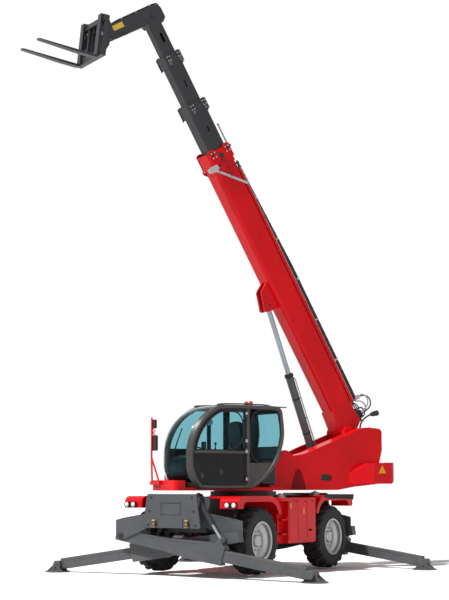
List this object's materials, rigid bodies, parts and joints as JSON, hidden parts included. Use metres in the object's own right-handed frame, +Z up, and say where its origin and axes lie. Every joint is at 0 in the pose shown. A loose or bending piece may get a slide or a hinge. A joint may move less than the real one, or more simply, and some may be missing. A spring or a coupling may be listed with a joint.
{
  "type": "rotating telescopic handler",
  "caption": "Rotating telescopic handler on crossed stabilisers, with a slewing turret, side cab, raised telescopic boom and pallet forks.",
  "frame": {"origin": "bottom centre of the whole machine's box, on the ground under it", "axes": "+X to the chassis's front, +Y to its left, +Z up"},
  "size_m": [7.3312, 5.9098, 10.6291],
  "materials": {
    "grey_steel": "satin",
    "dark_steel": "satin",
    "red_paint": "gloss",
    "silver_paint": "satin",
    "tyre": "matte",
    "chrome": "polished",
    "glass": "gloss",
    "black_plastic": "matte",
    "lamp": "gloss",
    "amber": "gloss",
    "seat_vinyl": "matte",
    "cast_iron": "matte"
  },
  "bodies": {
    "chassis": {"chassis_frame": "grey_steel", "end_frames": "grey_steel", "side_boxes": "red_paint", "fenders": "red_paint", "end_plates": "grey_steel", "lights": "lamp", "slew_ring": "dark_steel", "axles": "grey_steel"},
    "turret": {"turret_frame": "red_paint", "counterweight": "red_paint", "engine": "cast_iron", "cab_frame": "dark_steel", "cab_glass": "glass", "seat": "seat_vinyl", "controls": "black_plastic", "mirrors": "black_plastic", "beacon": "amber"},
    "door": {"cab_door": "dark_steel", "door_glass": "glass"},
    "hood": {"engine_hood": "red_paint"},
    "boom": {"boom_base": "red_paint", "boom_hoses": "black_plastic"},
    "section_2": {"boom_section_2": "dark_steel"},
    "section_3": {"boom_section_3": "dark_steel"},
    "section_4": {"boom_section_4": "dark_steel"},
    "lift_barrel": {"lift_barrel": "dark_steel"},
    "lift_rod": {"lift_rod": "chrome"},
    "tilt_barrel": {"tilt_barrel": "dark_steel"},
    "tilt_rod": {"tilt_rod": "chrome"},
    "carriage": {"fork_carriage": "dark_steel", "forks": "dark_steel"},
    "knuckle_front_left": {"knuckle_front_left": "grey_steel"},
    "wheel_front_left": {"tyre_front_left": "tyre", "rim_front_left": "silver_paint"},
    "housing_front_left": {"stabiliser_housing_front_left": "grey_steel"},
    "beam_front_left": {"stabiliser_beam_front_left": "grey_steel"},
    "leg_barrel_front_left": {"leg_barrel_front_left": "dark_steel"},
    "leg_rod_front_left": {"leg_rod_front_left": "chrome"},
    "knuckle_front_right": {"knuckle_front_right": "grey_steel"},
    "wheel_front_right": {"tyre_front_right": "tyre", "rim_front_right": "silver_paint"},
    "housing_front_right": {"stabiliser_housing_front_right": "grey_steel"},
    "beam_front_right": {"stabiliser_beam_front_right": "grey_steel"},
    "leg_barrel_front_right": {"leg_barrel_front_right": "dark_steel"},
    "leg_rod_front_right": {"leg_rod_front_right": "chrome"},
    "knuckle_rear_left": {"knuckle_rear_left": "grey_steel"},
    "wheel_rear_left": {"tyre_rear_left": "tyre", "rim_rear_left": "silver_paint"},
    "housing_rear_left": {"stabiliser_housing_rear_left": "grey_steel"},
    "beam_rear_left": {"stabiliser_beam_rear_left": "grey_steel"},
    "leg_barrel_rear_left": {"leg_barrel_rear_left": "dark_steel"},
    "leg_rod_rear_left": {"leg_rod_rear_left": "chrome"},
    "knuckle_rear_right": {"knuckle_rear_right": "grey_steel"},
    "wheel_rear_right": {"tyre_rear_right": "tyre", "rim_rear_right": "silver_paint"},
    "housing_rear_right": {"stabiliser_housing_rear_right": "grey_steel"},
    "beam_rear_right": {"stabiliser_beam_rear_right": "grey_steel"},
    "leg_barrel_rear_right": {"leg_barrel_rear_right": "dark_steel"},
    "leg_rod_rear_right": {"leg_rod_rear_right": "chrome"}
  },
  "joints": [
    {"name": "slew", "type": "hinge", "parent": "chassis", "child": "turret", "pos_m": [-0.648, 0, 1.45], "axis": [0, 0, 1], "continuous": true},
    {"name": "boom_lift", "type": "hinge", "parent": "turret", "child": "boom", "pos_m": [-2.78083, 0.93939, 2.62], "axis": [-0.4226, -0.9063, 0], "range_deg": [-62, 14]},
    {"name": "telescope", "type": "slide", "parent": "boom", "child": "section_2", "axis": [0.4668, -0.2177, 0.8572], "range_m": [-0.72, 3.6]},
    {"name": "telescope_2", "type": "slide", "parent": "section_2", "child": "section_3", "axis": [0.4668, -0.2177, 0.8572], "range_m": [-0.72, 3.6]},
    {"name": "telescope_3", "type": "slide", "parent": "section_3", "child": "section_4", "axis": [0.4668, -0.2177, 0.8572], "range_m": [-0.72, 3.6]},
    {"name": "fork_tilt", "type": "hinge", "parent": "section_4", "child": "carriage", "pos_m": [2.037, -1.30721, 9.85559], "axis": [0.4226, 0.9063, 0], "range_deg": [-55, 45]},
    {"name": "lift_cylinder_swing", "type": "hinge", "parent": "turret", "child": "lift_barrel", "pos_m": [-2.32767, 0.72808, 1.75], "axis": [-0.4226, -0.9063, 0], "range_deg": [-60, 15]},
    {"name": "lift_cylinder_stroke", "type": "slide", "parent": "lift_barrel", "child": "lift_rod", "axis": [0.316, -0.1474, 0.9372], "range_m": [-1.05, 0.3]},
    {"name": "tilt_cylinder_swing", "type": "hinge", "parent": "section_4", "child": "tilt_barrel", "pos_m": [1.19333, -0.9138, 10.40326], "axis": [0.4226, 0.9063, 0], "range_deg": [-3, 3]},
    {"name": "tilt_cylinder_stroke", "type": "slide", "parent": "tilt_barrel", "child": "tilt_rod", "axis": [0.8408, -0.3921, -0.3732], "range_m": [-0.16, 0.13]},
    {"name": "cab_door_hinge", "type": "hinge", "parent": "turret", "child": "door", "pos_m": [0.5095, 0.79754, 2.1], "axis": [0, 0, 1], "range_deg": [0, 90]},
    {"name": "hood_hinge", "type": "hinge", "parent": "turret", "child": "hood", "pos_m": [-1.24992, -0.10771, 2.248], "axis": [-0.9063, 0.4226, 0], "range_deg": [0, 60]},
    {"name": "steer_front_left", "type": "hinge", "parent": "chassis", "child": "knuckle_front_left", "pos_m": [0.662, 0.85, 0.62], "axis": [0, 0, 1], "range_deg": [-35, 35]},
    {"name": "roll_front_left", "type": "hinge", "parent": "knuckle_front_left", "child": "wheel_front_left", "pos_m": [0.662, 1.015, 0.62], "axis": [0, 1, 0], "continuous": true},
    {"name": "swing_front_left", "type": "hinge", "parent": "chassis", "child": "housing_front_left", "pos_m": [1.597, -1.12, 0.7], "axis": [1, 0, 0], "range_deg": [-3, 8]},
    {"name": "extend_front_left", "type": "slide", "parent": "housing_front_left", "child": "beam_front_left", "axis": [0, 0.9895, -0.1444], "range_m": [-1.47, 0.1]},
    {"name": "leg_swing_front_left", "type": "hinge", "parent": "chassis", "child": "leg_barrel_front_left", "pos_m": [1.597, 0.5, 1.31], "axis": [1, 0, 0], "range_deg": [-8, 20]},
    {"name": "leg_stroke_front_left", "type": "slide", "parent": "leg_barrel_front_left", "child": "leg_rod_front_left", "axis": [0, 0.5783, -0.8158], "range_m": [-0.26, 0.12]},
    {"name": "steer_front_right", "type": "hinge", "parent": "chassis", "child": "knuckle_front_right", "pos_m": [0.662, -0.85, 0.62], "axis": [0, 0, 1], "range_deg": [-35, 35]},
    {"name": "roll_front_right", "type": "hinge", "parent": "knuckle_front_right", "child": "wheel_front_right", "pos_m": [0.662, -1.015, 0.62], "axis": [0, 1, 0], "continuous": true},
    {"name": "swing_front_right", "type": "hinge", "parent": "chassis", "child": "housing_front_right", "pos_m": [1.437, 1.12, 0.7], "axis": [-1, 0, 0], "range_deg": [-3, 8]},
    {"name": "extend_front_right", "type": "slide", "parent": "housing_front_right", "child": "beam_front_right", "axis": [0, -0.9895, -0.1444], "range_m": [-1.47, 0.1]},
    {"name": "leg_swing_front_right", "type": "hinge", "parent": "chassis", "child": "leg_barrel_front_right", "pos_m": [1.437, -0.5, 1.31], "axis": [-1, 0, 0], "range_deg": [-8, 20]},
    {"name": "leg_stroke_front_right", "type": "slide", "parent": "leg_barrel_front_right", "child": "leg_rod_front_right", "axis": [0, -0.5783, -0.8158], "range_m": [-0.26, 0.12]},
    {"name": "steer_rear_left", "type": "hinge", "parent": "chassis", "child": "knuckle_rear_left", "pos_m": [-1.958, 0.85, 0.62], "axis": [0, 0, 1], "range_deg": [-35, 35]},
    {"name": "roll_rear_left", "type": "hinge", "parent": "knuckle_rear_left", "child": "wheel_rear_left", "pos_m": [-1.958, 1.015, 0.62], "axis": [0, 1, 0], "continuous": true},
    {"name": "swing_rear_left", "type": "hinge", "parent": "chassis", "child": "housing_rear_left", "pos_m": [-2.893, -1.12, 0.7], "axis": [1, 0, 0], "range_deg": [-3, 8]},
    {"name": "extend_rear_left", "type": "slide", "parent": "housing_rear_left", "child": "beam_rear_left", "axis": [0, 0.9895, -0.1444], "range_m": [-1.47, 0.1]},
    {"name": "leg_swing_rear_left", "type": "hinge", "parent": "chassis", "child": "leg_barrel_rear_left", "pos_m": [-2.893, 0.5, 1.31], "axis": [1, 0, 0], "range_deg": [-8, 20]},
    {"name": "leg_stroke_rear_left", "type": "slide", "parent": "leg_barrel_rear_left", "child": "leg_rod_rear_left", "axis": [0, 0.5783, -0.8158], "range_m": [-0.26, 0.12]},
    {"name": "steer_rear_right", "type": "hinge", "parent": "chassis", "child": "knuckle_rear_right", "pos_m": [-1.958, -0.85, 0.62], "axis": [0, 0, 1], "range_deg": [-35, 35]},
    {"name": "roll_rear_right", "type": "hinge", "parent": "knuckle_rear_right", "child": "wheel_rear_right", "pos_m": [-1.958, -1.015, 0.62], "axis": [0, 1, 0], "continuous": true},
    {"name": "swing_rear_right", "type": "hinge", "parent": "chassis", "child": "housing_rear_right", "pos_m": [-2.733, 1.12, 0.7], "axis": [-1, 0, 0], "range_deg": [-3, 8]},
    {"name": "extend_rear_right", "type": "slide", "parent": "housing_rear_right", "child": "beam_rear_right", "axis": [0, -0.9895, -0.1444], "range_m": [-1.47, 0.1]},
    {"name": "leg_swing_rear_right", "type": "hinge", "parent": "chassis", "child": "leg_barrel_rear_right", "pos_m": [-2.733, -0.5, 1.31], "axis": [-1, 0, 0], "range_deg": [-8, 20]},
    {"name": "leg_stroke_rear_right", "type": "slide", "parent": "leg_barrel_rear_right", "child": "leg_rod_rear_right", "axis": [0, -0.5783, -0.8158], "range_m": [-0.26, 0.12]}
  ],
  "couplings": [
    {"joint": "telescope_2", "follows": "telescope", "ratio": 1},
    {"joint": "telescope_3", "follows": "telescope", "ratio": 0.8},
    {"joint": "lift_cylinder_swing", "follows": "boom_lift", "ratio": 0.93},
    {"joint": "lift_cylinder_stroke", "follows": "boom_lift", "m_per_rad": 0.94},
    {"joint": "tilt_cylinder_swing", "follows": "fork_tilt", "ratio": 0.03},
    {"joint": "tilt_cylinder_stroke", "follows": "fork_tilt", "m_per_rad": 0.14},
    {"joint": "leg_swing_front_left", "follows": "swing_front_left", "ratio": 1.76},
    {"joint": "leg_stroke_front_left", "follows": "swing_front_left", "m_per_rad": -1.62},
    {"joint": "steer_front_right", "follows": "steer_front_left", "ratio": 1},
    {"joint": "leg_swing_front_right", "follows": "swing_front_right", "ratio": 1.76},
    {"joint": "leg_stroke_front_right", "follows": "swing_front_right", "m_per_rad": -1.62},
    {"joint": "leg_swing_rear_left", "follows": "swing_rear_left", "ratio": 1.76},
    {"joint": "leg_stroke_rear_left", "follows": "swing_rear_left", "m_per_rad": -1.62},
    {"joint": "steer_rear_right", "follows": "steer_rear_left", "ratio": 1},
    {"joint": "leg_swing_rear_right", "follows": "swing_rear_right", "ratio": 1.76},
    {"joint": "leg_stroke_rear_right", "follows": "swing_rear_right", "m_per_rad": -1.62}
  ]
}
